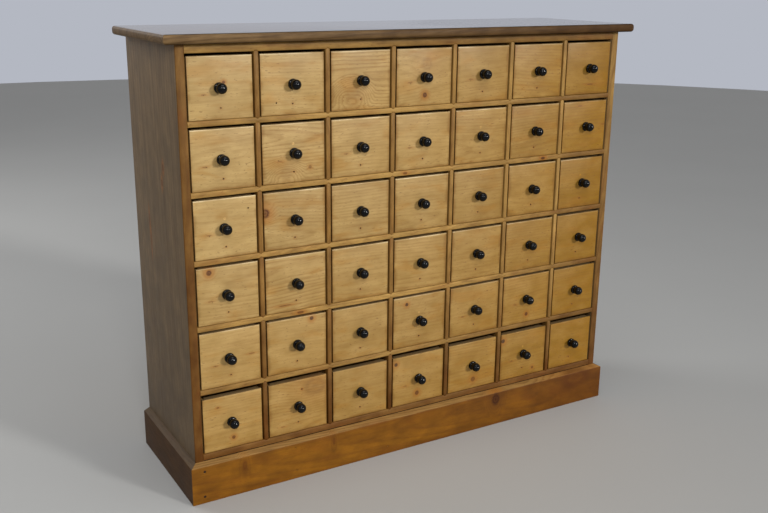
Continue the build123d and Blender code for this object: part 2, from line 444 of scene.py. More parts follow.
MATH = "ShaderNodeMath"
VECTOR = "ShaderNodeVectorMath"
NOISE = "ShaderNodeTexNoise"
RANGE = "ShaderNodeMapRange"
MIX = "ShaderNodeMix"
ATTRIBUTE = "ShaderNodeAttribute"
PLACE = "ShaderNodeTexCoord"
SPLIT = "ShaderNodeSeparateXYZ"
BUMP = "ShaderNodeBump"
SURFACE = "ShaderNodeBsdfPrincipled"
OUTPUT = "ShaderNodeOutputMaterial"
BACKGROUND = "ShaderNodeBackground"
FACTOR, FIRST, SECOND = 0, 6, 7
START, END, LEAST, MOST = 1, 2, 3, 4
OBJECT = 3
ALL = None
COLOURED = {"out": 2, "data_type": "RGBA"}
SMOOTH = {"interpolation_type": "SMOOTHSTEP"}


def add(tree, kind, inputs=None, out=0, **settings):
    """Adds a node with its settings, values and links, and returns one or all of its outputs."""
    new = tree.nodes.new(kind)
    for name, value in settings.items():
        setattr(new, name, value)
    for socket, source in (inputs or {}).items():
        if isinstance(source, bpy.types.NodeSocket):
            tree.links.new(source, new.inputs[socket])
        else:
            new.inputs[socket].default_value = source
    if not new.outputs:
        return new
    return new.outputs if out is ALL else new.outputs[out]


def new_material(name):
    material = bpy.data.materials.new(name)
    material.use_nodes = True
    material.node_tree.nodes.clear()
    return material, material.node_tree


def per(millimetres):
    """Scale of a pattern whose feature is this size."""
    return 1 / (millimetres * MM)


def opaque(value):
    return (*value, 1)


def pine(name, deep, pale, late_wood, blush, ring, figure, fibres, dashes, clouds, blushing,
         gloss, wax, relief, glint=0.5, bands=0.3, band_width=10, halo="knot_stain", rim=0.0):
    """Sawn pine: growth rings round the pith, fibres along the grain, resin and knots.

    The ring, the relief and the band width are in mm. Figure, fibres, dashes, bands, blushing
    and rim are shares of their colours, and clouds how far the wood brightens and darkens in
    patches. The glint is the level of the shader's reflection, and the halo names the colour of
    the wood round a knot.
    """
    colours = bpy.context.scene.cabinet_colours
    material, tree = new_material(name)
    grain = add(tree, ATTRIBUTE, out=1, attribute_name="grain")
    board = add(tree, ATTRIBUTE, out=1, attribute_name="board")
    brightness, plainness, painted_light = add(tree, SPLIT, {0: board}, out=ALL)

    # Each pattern: its length and width in mm, and its detail, roughness and distortion.
    patterns = (
        # the rings wander over some 40 mm across and 260 mm along the grain
        (260, 40, 2, 0.5, 0),
        # fibres, drawn 2 mm wide and 40 mm long so that they show
        (40, 2, 3, 0.65, 0),
        # broad soft bands of colour that fade out along the board
        (16 * band_width, band_width, 3, 0.6, 0),
        # cloudy patches of wax and stain, 60 mm long
        (60, 35, 3, 0.55, 0),
        # short resin dashes, some 10 mm long and 2 mm wide, few and scattered
        (10, 2.2, 1, 0.4, 0),
        # stain that has taken more warmly in patches some 90 mm long
        (90, 30, 2, 0.5, 0.4),
    )
    noises = []
    for long, wide, detail, roughness, distortion in patterns:
        scale = (per(long), per(wide), per(wide))
        drawn = add(tree, VECTOR, {0: grain, 1: scale}, operation="MULTIPLY")
        noises.append(add(tree, NOISE, {
            "Vector": drawn, "Scale": 1, "Detail": detail, "Roughness": roughness,
            "Distortion": distortion,
        }))
    wander, fibre, band, patch, dash, warm = noises
    wander = add(tree, MATH, {0: wander, 1: 16 * MM}, operation="MULTIPLY")
    dash = add(tree, MATH, {0: patch, 1: 0.22, 2: dash}, operation="MULTIPLY_ADD")
    dash = add(tree, RANGE, {0: dash, START: 0.79, END: 0.86, MOST: dashes}, **SMOOTH)

    # distance from the pith, with the rings pushed aside round each knot
    flat = add(tree, VECTOR, {0: grain, 1: (0, 1, 1)}, operation="MULTIPLY")
    radius = add(tree, VECTOR, {0: flat}, out=1, operation="LENGTH")
    radius = add(tree, MATH, {0: radius, 1: wander}, operation="ADD")
    ragged = add(tree, MATH, {0: fibre, 1: 0.7, 2: -0.35}, operation="MULTIPLY_ADD")
    knots = []
    for number in range(KNOT_SLOTS):
        offset = add(tree, ATTRIBUTE, out=1, attribute_name=f"knot_{number}")
        kind = add(tree, ATTRIBUTE, out=1, attribute_name=f"knot_kind_{number}")
        strength, size, push = add(tree, SPLIT, {0: kind}, out=ALL)
        far = add(tree, VECTOR, {0: offset}, out=1, operation="LENGTH")
        far = add(tree, MATH, {0: far, 1: ragged}, operation="ADD")
        near = add(tree, RANGE, {0: far, START: 3.4, END: 0.8}, **SMOOTH)
        sound = add(tree, MATH, {0: strength, 1: 1.0}, operation="MINIMUM")
        stain = add(tree, MATH, {0: near, 1: sound}, operation="MULTIPLY")
        aside = add(tree, MATH, {0: near, 1: push}, operation="MULTIPLY")
        aside = add(tree, MATH, {0: aside, 1: size}, operation="MULTIPLY")
        radius = add(tree, MATH, {0: aside, 1: 1.6, 2: radius}, operation="MULTIPLY_ADD")
        knots.append((far, stain, sound, strength))

    # each ring: pale early wood that darkens to a narrow line of late wood
    turns = add(tree, MATH, {0: radius, 1: per(ring)}, operation="MULTIPLY")
    turns = add(tree, MATH, {0: fibre, 1: 0.45, 2: turns}, operation="MULTIPLY_ADD")
    within = add(tree, MATH, {0: turns}, operation="FRACT")
    rise = add(tree, RANGE, {0: within, START: 0.3, END: 0.88}, **SMOOTH)
    fall = add(tree, RANGE, {0: within, START: 1.0, END: 0.9}, **SMOOTH)
    late = add(tree, MATH, {0: rise, 1: fall}, operation="MULTIPLY")
    late = add(tree, MATH, {0: late, 1: plainness}, operation="MULTIPLY")

    # rings, then fibres and bands
    share = add(tree, MATH, {0: late, 1: figure}, operation="MULTIPLY")
    for pattern, start, end, most in ((fibre, 0.46, 0.74, fibres), (band, 0.48, 0.72, bands)):
        more = add(tree, RANGE, {0: pattern, START: start, END: end, MOST: most})
        share = add(tree, MATH, {0: share, 1: more}, operation="ADD", use_clamp=True)
    # painted sheen and light: the pale colour is mixed in by the board's share of painted light,
    # varied in patches
    paled = add(tree, MATH, {0: patch, 1: 0.5, 2: -0.25}, operation="MULTIPLY_ADD")
    paled = add(tree, MATH, {0: painted_light, 1: paled}, operation="ADD", use_clamp=True)
    shade = add(tree, MIX, {FACTOR: paled, FIRST: opaque(deep), SECOND: opaque(pale)}, **COLOURED)
    shade = add(tree, MIX, {FACTOR: share, FIRST: shade, SECOND: opaque(late_wood)}, **COLOURED)
    warm = add(tree, RANGE, {0: warm, START: 0.5, END: 0.72, MOST: blushing}, **SMOOTH)
    shade = add(tree, MIX, {FACTOR: warm, FIRST: shade, SECOND: opaque(blush)}, **COLOURED)
    mottle = add(tree, RANGE, {0: patch, START: 0.3, END: 0.7, LEAST: 1 - clouds, MOST: 1 + clouds})
    mottle = add(tree, MATH, {0: mottle, 1: brightness}, operation="MULTIPLY")
    shade = add(tree, VECTOR, {0: shade, "Scale": mottle}, operation="SCALE")
    shade = add(tree, MIX, {FACTOR: dash, FIRST: shade, SECOND: opaque(colours.knot)}, **COLOURED)

    halo = opaque(getattr(colours, halo))
    heartwood = {FIRST: opaque(colours.knot), SECOND: opaque(colours.dead_knot)}
    for far, stain, sound, strength in knots:
        dead = add(tree, MATH, {0: strength, 1: 1.0}, operation="SUBTRACT", use_clamp=True)
        stained = add(tree, MATH, {0: stain, 1: 0.6}, operation="MULTIPLY")
        shade = add(tree, MIX, {FACTOR: stained, FIRST: shade, SECOND: halo}, **COLOURED)
        # rings inside the knot
        eye = add(tree, MATH, {0: far, 1: 12.0}, operation="MULTIPLY")
        eye = add(tree, MATH, {0: eye}, operation="SINE")
        eye = add(tree, RANGE, {0: eye, START: -1.0, LEAST: 0.6})
        heart = add(tree, RANGE, {0: far, START: 1.2, END: 0.8}, **SMOOTH)
        heart = add(tree, MATH, {0: heart, 1: sound}, operation="MULTIPLY")
        heart = add(tree, MATH, {0: heart, 1: eye}, operation="MULTIPLY")
        core = add(tree, MIX, {FACTOR: dead, **heartwood}, **COLOURED)
        shade = add(tree, MIX, {FACTOR: heart, FIRST: shade, SECOND: core}, **COLOURED)

    if rim:
        shade = front_rim(tree, shade, patch, painted_light, late_wood, rim)

    # the late wood stands a little proud, and the wax is thinner there
    height = add(tree, MATH, {0: late, 1: fibre}, operation="ADD")
    bump = add(tree, BUMP, {"Strength": 0.5, "Distance": relief * MM, "Height": height})
    rough = add(tree, RANGE, {0: fibre, START: 0.3, END: 0.7, LEAST: gloss - 0.05, MOST: gloss + 0.08})
    finish = add(tree, SURFACE, {
        "Base Color": shade, "Roughness": rough, "IOR": 1.44, "Specular IOR Level": glint,
        "Coat Weight": wax, "Coat Roughness": max(gloss - 0.2, 0.08), "Normal": bump,
    })
    add(tree, OUTPUT, {"Surface": finish})
    return material


def front_rim(tree, shade, patch, painted_light, late_wood, rim):
    """A front darkens towards its sides and foot, and its top edge turns cream: wear and a painted
    highlight.

    The cream edge fades towards the lower rows, and is strongest where the painted sheen and light
    are.
    """
    colours = bpy.context.scene.cabinet_colours
    place = add(tree, ATTRIBUTE, out=1, attribute_name="rim")
    from_middle, from_foot, from_top = add(tree, SPLIT, {0: place}, out=ALL)
    from_side = add(tree, MATH, {0: from_middle}, operation="ABSOLUTE")
    from_side = add(tree, MATH, {0: FRONT_HALF, 1: from_side}, operation="SUBTRACT")
    nearest = add(tree, MATH, {0: from_side, 1: from_foot}, operation="MINIMUM")
    uneven = add(tree, MATH, {0: patch, 1: 24 * MM, 2: -9 * MM}, operation="MULTIPLY_ADD")
    nearest = add(tree, MATH, {0: nearest, 1: uneven}, operation="ADD")
    edge = add(tree, RANGE, {0: nearest, START: 12 * MM, END: 1 * MM, MOST: rim}, **SMOOTH)
    shade = add(tree, MIX, {FACTOR: edge, FIRST: shade, SECOND: opaque(late_wood)}, **COLOURED)
    # the cream top edge: partly wear, partly a painted highlight on the rounding
    rubbed = add(tree, RANGE, {0: from_top, START: 3.2 * MM, END: 1.0 * MM, MOST: 0.8}, **SMOOTH)
    height = add(tree, SPLIT, {0: add(tree, PLACE, out=OBJECT)}, out=Z)
    limits = (
        # patches
        {0: patch, START: 0.42, END: 0.62, LEAST: 0.25},
        # the cream edge fades towards the lower rows, heights in metres
        {0: height, START: 0.25, END: 0.65, LEAST: 0.1},
        # where the painted sheen and light are strongest
        {0: painted_light, START: 0.0, END: 0.6, LEAST: 0.25},
    )
    for limit in limits:
        rubbed = add(tree, MATH, {0: rubbed, 1: add(tree, RANGE, limit)}, operation="MULTIPLY")
    rubbed_and_highlit_wood = opaque(colours.rubbed)
    return add(tree, MIX, {FACTOR: rubbed, FIRST: shade, SECOND: rubbed_and_highlit_wood}, **COLOURED)


def black_enamel():
    """Black enamel on turned wood: a deep, sharp gloss with slight waves, hardly worn."""
    colours = bpy.context.scene.cabinet_colours
    paints = {FIRST: opaque(colours.enamel), SECOND: opaque(colours.dead_knot)}
    material, tree = new_material("black_enamel_on_wood")
    place = add(tree, PLACE, out=OBJECT)
    # worn patches of about 6 mm
    worn = add(tree, NOISE, {"Vector": place, "Scale": per(6), "Detail": 3})
    thin = add(tree, RANGE, {0: worn, START: 0.7, END: 0.9, MOST: 0.08}, **SMOOTH)
    shade = add(tree, MIX, {FACTOR: thin, **paints}, **COLOURED)
    rough = add(tree, RANGE, {0: worn, LEAST: 0.04, MOST: 0.12})
    # brush waves, drawn 3 mm wide so that they show
    waves = add(tree, NOISE, {"Vector": place, "Scale": per(3), "Detail": 1})
    bump = add(tree, BUMP, {"Strength": 0.08, "Distance": 0.03 * MM, "Height": waves})
    finish = add(tree, SURFACE, {
        "Base Color": shade, "Roughness": rough, "Specular IOR Level": 0.25, "Normal": bump,
    })
    add(tree, OUTPUT, {"Surface": finish})
    return material


def oxidised_steel():
    """Old cut nails: dark oxidised steel heads, dull with a few brighter rubbed spots."""
    colours = bpy.context.scene.cabinet_colours
    tones = {FIRST: opaque(colours.steel), SECOND: opaque(colours.dead_knot)}
    material, tree = new_material("oxidised_steel_nails")
    place = add(tree, PLACE, out=OBJECT)
    # spots of rust of about 1 mm
    spots = add(tree, NOISE, {"Vector": place, "Scale": per(1), "Detail": 2})
    rough = add(tree, RANGE, {0: spots, LEAST: 0.4, MOST: 0.8})
    shade = add(tree, MIX, {FACTOR: spots, **tones}, **COLOURED)
    finish = add(tree, SURFACE, {"Base Color": shade, "Metallic": 0.6, "Roughness": rough})
    add(tree, OUTPUT, {"Surface": finish})
    return material


def raw_boards():
    """Unfinished pine on the hidden boards of the frame: dull, dusty, its grain along X."""
    colours = bpy.context.scene.cabinet_colours
    woods = {FIRST: opaque(colours.raw), SECOND: opaque(colours.raw_grain)}
    material, tree = new_material("raw_sawn_pine")
    place = add(tree, PLACE, out=OBJECT)
    # fibres 2.5 mm wide and 60 mm long, in patches of 90 mm
    thin = add(tree, VECTOR, {0: place, 1: (per(60), per(2.5), per(2.5))}, operation="MULTIPLY")
    fibre = add(tree, NOISE, {"Vector": thin, "Scale": 1, "Detail": 4})
    patch = add(tree, NOISE, {"Vector": place, "Scale": per(90), "Detail": 3})
    share = add(tree, MATH, {0: fibre, 1: patch}, operation="MULTIPLY")
    share = add(tree, RANGE, {0: share, START: 0.12, END: 0.42})
    shade = add(tree, MIX, {FACTOR: share, **woods}, **COLOURED)
    rough = add(tree, RANGE, {0: fibre, LEAST: 0.65, MOST: 0.9})
    bump = add(tree, BUMP, {"Strength": 0.6, "Distance": 0.3 * MM, "Height": fibre})
    finish = add(tree, SURFACE, {"Base Color": shade, "Roughness": rough, "Normal": bump})
    add(tree, OUTPUT, {"Surface": finish})
    return material


# Each finish of pine: its deep colour, its colour paled by daylight, its late wood and its
# stain, by their names among the colours, and then how pine() draws it.
PINES = {
    # planed and waxed, paled towards the upper left by painted sheen and light: soft figure, a low
    # sheen, darker towards the sides and foot
    "waxed_pine_fronts": ("front front_pale front_grain front_amber", dict(
        ring=7, figure=0.5, fibres=0.2, dashes=0.45, clouds=0.08, blushing=0.35, gloss=0.42,
        wax=0.08, relief=0.05, glint=0.35, bands=0.2, rim=0.6,
    )),
    # stained and waxed: a browner wood with soft streaks and a slight sheen
    "brown_waxed_pine": ("lattice lattice_pale lattice_grain lattice_red", dict(
        ring=5, figure=0.4, fibres=0.3, dashes=0.4, clouds=0.12, blushing=0.28, gloss=0.48,
        wax=0.0, relief=0.1, glint=0.2,
    )),
    # darkly stained and dull: broad upright bands, open grain
    "dark_stained_pine": ("sides sides_pale sides_grain sides_grain", dict(
        ring=14, figure=0.45, fibres=0.15, dashes=0.4, clouds=0.05, blushing=0.12, gloss=0.48,
        wax=0.0, relief=0.12, glint=0.35, bands=0.55, band_width=26,
    )),
    # polished by use: the room shows in it at a low angle
    "polished_pine_top": ("top top_pale top_grain top_grain", dict(
        ring=8, figure=0.6, fibres=0.4, dashes=0.3, clouds=0.1, blushing=0.2, gloss=0.3,
        wax=1.0, relief=0.06,
    )),
    # the edges of the top, dulled by handling
    "handled_pine_edges": ("top top_pale top_grain top_grain", dict(
        ring=8, figure=0.6, fibres=0.4, dashes=0.3, clouds=0.15, blushing=0.3, gloss=0.5,
        wax=0.0, relief=0.1, glint=0.2,
    )),
    # the sloping top of the plinth: worn by feet and brooms, and paler as painted light on its
    # up-facing slope
    "worn_pine_splay": ("splay splay lattice_grain lattice_red", dict(
        ring=6, figure=0.4, fibres=0.3, dashes=0.3, clouds=0.12, blushing=0.2, gloss=0.5,
        wax=0.0, relief=0.1, glint=0.2,
    )),
    # painted shade: a dark line in the joint above the plinth, and on the side edges of the fronts in
    # the gaps
    "grimy_pine_joint": ("grime grime dead_knot dead_knot", dict(
        ring=5, figure=0.3, fibres=0.3, dashes=0.3, clouds=0.3, blushing=0.3, gloss=0.7,
        wax=0.0, relief=0.2, glint=0.1,
    )),
    # amber stain over a soft cloudy figure, with large knots
    "amber_stained_pine": ("plinth plinth_pale plinth_grain plinth_red", dict(
        ring=12, figure=0.3, fibres=0.2, dashes=0.3, clouds=0.18, blushing=0.3, gloss=0.5,
        wax=0.0, relief=0.08, glint=0.15, band_width=16, halo="plinth_grain",
    )),
    # bare, unwaxed edges of the fronts, darkened as painted shade of the gaps they face
    "soiled_pine_edges": ("soiled soiled raw_grain raw_grain", dict(
        ring=5, figure=0.6, fibres=0.4, dashes=0.4, clouds=0.2, blushing=0.3, gloss=0.6,
        wax=0.0, relief=0.15,
    )),
    # never waxed: pale and dull
    "unfinished_pine": ("raw raw raw_grain raw_grain", dict(
        ring=5, figure=0.6, fibres=0.4, dashes=0.4, clouds=0.1, blushing=0.2, gloss=0.7,
        wax=0.0, relief=0.2,
    )),
}


def finish_named(name):
    """A finish of the cabinet, made the first time that it is asked for."""
    if name in bpy.data.materials:
        return bpy.data.materials[name]
    if name in PINES:
        woods, drawing = PINES[name]
        colours = bpy.context.scene.cabinet_colours
        return pine(name, *(getattr(colours, wood) for wood in woods.split()), **drawing)
    makers = {
        "black_enamel_on_wood": black_enamel,
        "oxidised_steel_nails": oxidised_steel,
        "raw_sawn_pine": raw_boards,
    }
    return makers[name]()


# ---- Drawers ----

# Old label frames left four pin marks on each front, in millimetres from its middle.
LABEL_PIN_BELOW = (-1, -42)
LABEL_PIN_LEFT = (-38, -14)
LABEL_PIN_RIGHT = (36, -14)
LABEL_PLUG_ABOVE = (-2, 21)

# Radius of each pin hole, in millimetres.
PIN_BELOW, PIN_LEFT, PIN_RIGHT = 1.7, 0.9, 0.8

# The plugs are this deep, and their middle lies this far behind the face.
PLUG_DEPTH = 1.0 * MM
PLUG_SUNK = 0.4 * MM

# Fronts on which the lower pin hole doesn't show.
NO_HOLE_BELOW = {"r1_c7", "r2_c7", "r1_c4", "r5_c6", "r6_c1", "r6_c4", "r6_c5"}

# Fronts with a pale plug over the knob.
PLUG_ABOVE = {"r1_c6", "r2_c2", "r2_c5", "r3_c1", "r3_c7", "r5_c4", "r6_c3", "r6_c6"}

# Further holes: place in millimetres from the front's middle, and radius.
MORE_HOLES = {
    "r1_c2": [(-40, -39, 1.9)],
    "r1_c6": [(-48, -42, 1.0)],
    "r2_c5": [(68, 52, 1.2)],
    "r3_c1": [(53, 39, 2.0)],
    "r5_c4": [(-48, -37, 1.0)],
    "r6_c2": [(10, 41, 1.5)],
    "r6_c4": [(-51, -12, 0.9), (-36, -21, 0.9)],
    "r6_c6": [(-29, -20, 1.0)],
}

# Fronts with a streak where the left pin was.
STREAK_LEFT = {
    "r1_c1", "r1_c4", "r1_c5", "r2_c1", "r2_c2", "r2_c3", "r2_c4", "r3_c1", "r4_c1", "r5_c1",
    "r5_c5", "r5_c6", "r6_c2", "r6_c4", "r6_c6",
}

# Fronts whose rings show plainly.
FIGURED = {"r1_c3": (0.75, 0.85), "r1_c4": (0.35, 0.45), "r2_c2": (0.6, 0.7), "r4_c2": (0.5, 0.7)}

# Knots: place in millimetres from the front's middle, radius and strength, and for some the
# stretch along the grain and the push on the rings, which makes a swirl.
FRONT_KNOTS = {
    "r1_c1": [(7, 11, 3.4, 1.0)],
    "r1_c3": [(-22, -26, 15, 0.15, 1.3, 1.6)],
    "r1_c4": [(2, -42, 6, 1.0), (6, 30, 16, 0.2)],
    "r1_c7": [(10, -41, 1.8, 0.6, 6)],
    "r2_c2": [(-20, -44, 13, 0.15, 1.2, 1.4), (39, -35, 4, 0.6)],
    "r2_c7": [(-19, 55, 1.6, 0.5, 5), (66, 2, 1.8, 0.5, 4)],
    "r4_c2": [(-30, -50, 1.8, 0.7, 9)],
    "r5_c1": [(51, 0, 1.6, 0.6, 5)],
    "r3_c2": [(-73, 21, 11, 1.1)],
    "r4_c1": [(-43, 55, 6.5, 1.2)],
    "r5_c2": [(38, 58, 5, 1.7)],
    "r5_c4": [(-38, 47, 4.5, 1.8)],
    "r5_c6": [(4, -44, 5, 1.0)],
    "r6_c1": [(0, -41, 4.5, 0.9), (-36, 41, 1.8, 0.8, 2)],
    "r6_c2": [(45, 42, 24, 0.3, 1.4), (10, 41, 2.4, 0.7), (-41, -46, 1.6, 0.5, 4)],
    "r6_c4": [(-67, 49, 5, 1.9), (-3, -41, 6, 0.9)],
    "r6_c5": [(4, -41, 7, 0.7)],
    "r6_c6": [(-70, 48, 6, 1.9), (35, -48, 4, 0.8)],
}


def model_front(name, width, height):
    """A drawer front: a slab in front, and behind it the thicker middle between the sides."""
    s = bpy.context.scene.cabinet_sizes
    half = width / 2
    inner = half - s.drawer_side
    front = add_block(name, (-half, 0, 0), (half, s.front_lip, height))
    with editing(front):
        choose(front, "EDGE", lambda edge: lies(edge, Y, 0))
        round_edges(s.front_ease)
        for axis, place in ((X, -inner), (X, inner), (Z, s.drawer_bottom)):
            choose(front, "FACE", lambda face: lies(face, Y, s.front_lip))
            cut_line(axis, place)
        choose(
            front, "FACE",
            lambda face: lies(face, Y, s.front_lip)
            and abs(middle(face).x) < inner
            and middle(face).z > s.drawer_bottom,
        )
        pull_out((0, s.front_thickness - s.front_lip, 0))
    return front


def model_drawer_boards(name, width, height, depth):
    """The rest of a drawer: two sides rebated for the bottom, a back and the bottom."""
    s = bpy.context.scene.cabinet_sizes
    half = width / 2
    inner = half - s.drawer_side
    lap = inner + s.bottom_lap
    side_top = height - s.side_drop
    ease = 0.6 * MM
    boards = []
    for side in (-1, 1):
        near, far = sorted((side * inner, side * half))
        board = add_block(
            f"{name}_side_{side}", (near, s.front_lip, s.drawer_bottom), (far, depth, side_top)
        )
        with editing(board):
            bpy.ops.mesh.select_all(action="SELECT")
            cut_line(X, side * lap)
            choose(
                board, "FACE",
                lambda face: lies(face, Z, s.drawer_bottom) and abs(middle(face).x) > lap,
            )
            pull_out((0, 0, -s.drawer_bottom))
            choose(
                board, "EDGE",
                lambda edge: lies(edge, Z, side_top)
                and (lies(edge, X, near) or lies(edge, X, far)),
            )
            round_edges(ease, 2)
        boards.append(board)
    back = add_block(
        f"{name}_back",
        (-inner, depth - s.drawer_side, s.drawer_bottom),
        (inner, depth, side_top - s.back_drop),
    )
    with editing(back):
        choose(back, "EDGE", lambda edge: lies(edge, Z, side_top - s.back_drop))
        round_edges(ease, 2)
    bottom = add_block(f"{name}_bottom", (-lap, s.front_lip, 0), (lap, depth, s.drawer_bottom))
    with editing(bottom):
        choose(bottom, "EDGE", lambda edge: lies(edge, Y, depth))
        round_edges(ease / 2, 2)
    return boards + [back, bottom]


def model_knob(name):
    """A turned knob, drawn out ring by ring from its collar to the tip of its ball."""
    s = bpy.context.scene.cabinet_sizes
    rim = s.collar_round
    foot = 0.8 * MM
    corners = 40
    ball_at = s.knob_reach - s.ball_radius
    rings = [(s.collar_radius, foot), (s.collar_radius, s.collar_edge - rim)]
    for step in (1, 2, 3):
        turn = math.radians(30 * step)
        rings.append((
            s.collar_radius - rim * (1 - math.cos(turn)),
            s.collar_edge - rim + rim * math.sin(turn),
        ))
    cove = 4
    for step in range(1, cove + 1):
        turn = math.radians(90 * step / cove)
        rings.append((
            s.neck_radius + (s.collar_radius - rim - s.neck_radius) * (1 - math.sin(turn)),
            s.collar_edge + (s.neck_reach - s.collar_edge) * (1 - math.cos(turn)),
        ))
    start = -math.acos(s.neck_radius / s.ball_radius)
    steps = 14
    for step in range(steps):
        turn = start + (math.pi / 2 - start) * step / steps
        rings.append((s.ball_radius * math.cos(turn), ball_at + s.ball_radius * math.sin(turn)))

    bpy.ops.object.select_all(action="DESELECT")
    bpy.ops.mesh.primitive_circle_add(
        vertices=corners, radius=s.collar_radius - foot, fill_type="NGON", rotation=(math.pi / 2, 0, 0)
    )
    knob = settle(bpy.context.object, name)
    with editing(knob):
        bpy.ops.mesh.select_mode(type="FACE")
        bpy.ops.mesh.select_all(action="SELECT")
        radius, reach = s.collar_radius - foot, 0
        for next_radius, next_reach in rings:
            pull_out((0, reach - next_reach, 0))
            scale = next_radius / radius
            bpy.ops.transform.resize(value=(scale, 1, scale), center_override=(0, -next_reach, 0))
            radius, reach = next_radius, next_reach
        pull_out((0, reach - s.knob_reach, 0))
        bpy.ops.mesh.merge(type="CENTER")
        bpy.ops.mesh.select_all(action="SELECT")
        bpy.ops.mesh.normals_make_consistent(inside=False)
    return knob


def front_knots(key, centre):
    """Knots of a front, and the stains round its lower pin hole and its left pins."""
    chance = random.Random(key + " stains")
    spots = list(FRONT_KNOTS.get(key, []))
    if key not in NO_HOLE_BELOW:
        spots.append((*LABEL_PIN_BELOW, 2.2, 0.35, 1.3))
    if key in STREAK_LEFT:
        x, z = LABEL_PIN_LEFT
        spots.append((x + chance.uniform(-5, 4), z + chance.uniform(-3, 3), 1.6, 0.45, 4))
    return [
        (centre + Vector((x, 0, z)) * MM, *kind)
        for x, z, *kind in spots[:KNOT_SLOTS]
    ]


def front_marks(name, key, centre, face):
    """Cutters for the pin holes of one front, and its pale plugs."""
    s = bpy.context.scene.cabinet_sizes
    chance = random.Random(name + " marks")
    holes = []
    if key not in NO_HOLE_BELOW:
        holes.append((*LABEL_PIN_BELOW, PIN_BELOW * chance.uniform(0.85, 1.1)))
    if key in STREAK_LEFT:
        holes.append((*LABEL_PIN_LEFT, PIN_LEFT))
    if chance.random() < 0.4:
        holes.append((*LABEL_PIN_RIGHT, PIN_RIGHT))
    holes += MORE_HOLES.get(key, [])
    cutters = []
    for number, (x, z, radius) in enumerate(holes):
        place = (centre.x + x * MM, face, centre.z + z * MM)
        cutters.append(add_pin(f"{name}_hole_{number}", place, radius * MM, 2 * s.hole_depth))
    plugs = []
    if key in PLUG_ABOVE:
        x, z = LABEL_PLUG_ABOVE
        place = (centre.x + x * MM, face + PLUG_SUNK, centre.z + z * MM)
        plugs.append(add_pin(f"{name}_plug", place, s.plug_radius, PLUG_DEPTH, corners=20))
    return cutters, plugs


def add_drawers():
    """All drawers: one model for each width, copied to every place and then marked."""
    s = bpy.context.scene.cabinet_sizes
    models = {}
    pine_front = finish_named("waxed_pine_fronts")
    pine_inside = finish_named("unfinished_pine")
    enamel = finish_named("black_enamel_on_wood")
    knob_model = model_knob("knob_model")
    pitch = divider_places()[1] - divider_places()[0]
    for row in range(1, ROWS + 1):
        for column in range(1, COLUMNS + 1):
            node = drawer_name(row, column)
            key = f"r{row}_c{column}"
            low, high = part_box(node)
            width = high.x - low.x
            height = high.z - low.z
            face = low.y + s.knob_reach
            size = round(width / MM)
            if size not in models:
                models[size] = (
                    model_front(f"front_model_{size}", width, height),
                    model_drawer_boards(f"boards_model_{size}", width, height, high.y - face),
                )
            front_model, board_models = models[size]
            place = Vector(((low.x + high.x) / 2, face, low.z))
            centre = Vector((place.x, face, (low.z + high.z) / 2))

            front = copy_piece(front_model, f"{node}_front", place)
            cutters, plugs = front_marks(node, key, centre, face)
            if cutters:
                carve(front, cutters)
            knots = front_knots(key, centre)
            plain = FIGURED.get(key, (0.1, 0.5))
            saw_board(
                front, (1, 0, 0), (0, -1, 0), "fronts", depth=(15, 60), knots=knots, figure=plain
            )
            store_vectors(
                front, "rim", lambda point: (point.x - place.x, point.z - low.z, high.z - point.z)
            )
            shaded_behind = face + s.front_ease - TINY
            for plug in plugs:
                saw_board(plug, (0, 1, 0), (0, 0, 1), "fronts", tone=0, shade=1.3)
                store_vectors(plug, "rim", lambda point: (0, 1, 1))
            front = merge_into([front] + plugs)
            place_piece(front, node, pine_front, [node])
            # the bare edges behind the face: painted shade of the gap under the shelf above
            second_finish(front, "soiled_pine_edges", lambda part: part.center.y > shaded_behind)
            # the side faces of the front, in the gaps beside it: painted shade
            second_finish(
                front, "grimy_pine_joint",
                lambda part: abs(part.normal.x) > 0.95 and part.center.y > shaded_behind
                and abs(part.center.x - place.x) > width / 2 - TINY,
            )

            boards = []
            for model in board_models:
                board = copy_piece(model, f"{node}_{model.name.split('_', 3)[-1]}", place)
                along = (1, 0, 0) if "back" in model.name else (0, 1, 0)
                saw_board(board, along, (0, 0, 1), "hidden")
                boards.append(board)
            boards = merge_into(boards)
            boards.name = boards.data.name = f"{node}_boards"
            place_piece(boards, node, pine_inside, [node])

            # The knobs keep one pitch right across, so the outer ones stand off the middle.
            knob_x = (column - (COLUMNS + 1) / 2) * pitch
            knob = copy_piece(knob_model, f"{node}_knob", (knob_x, face, centre.z))
            place_piece(knob, node, enamel, [node])
    for front_model, board_models in models.values():
        for model in [front_model] + board_models:
            bpy.data.objects.remove(model)
    bpy.data.objects.remove(knob_model)


# ---- The lattice of shelves and dividers ----

def shape_grooves(board, heights):
    """Presses V grooves for the pointed dividers into the top or underside of a board.

    Heights are (height of the face, direction in which the groove goes).
    """
    s = bpy.context.scene.cabinet_sizes
    half = s.divider / 2
    with editing(board):
        for x in divider_places():
            for place in (x - half, x, x + half):
                bpy.ops.mesh.select_all(action="SELECT")
                cut_line(X, place)
        for height, direction in heights:
            choose(
                board, "VERT",
                lambda vertex: lies(vertex, Z, height)
                and any(abs(vertex.co.x - x) < TINY for x in divider_places()),
            )
            bpy.ops.transform.translate(value=(0, 0, direction * s.point_depth))


def ease_front(board, heights, front):
    """Rounds the long front edges, which dip into the grooves at each divider."""
    s = bpy.context.scene.cabinet_sizes
    reach = s.point_depth + TINY

    def on_long_edge(edge):
        if not lies(edge, Y, front):
            return False
        upright = abs(edge.verts[0].co.x - edge.verts[1].co.x) < TINY
        return not upright and any(abs(middle(edge).z - height) < reach for height in heights)

    with editing(board):
        choose(board, "EDGE", on_long_edge)
        round_edges(s.board_ease)


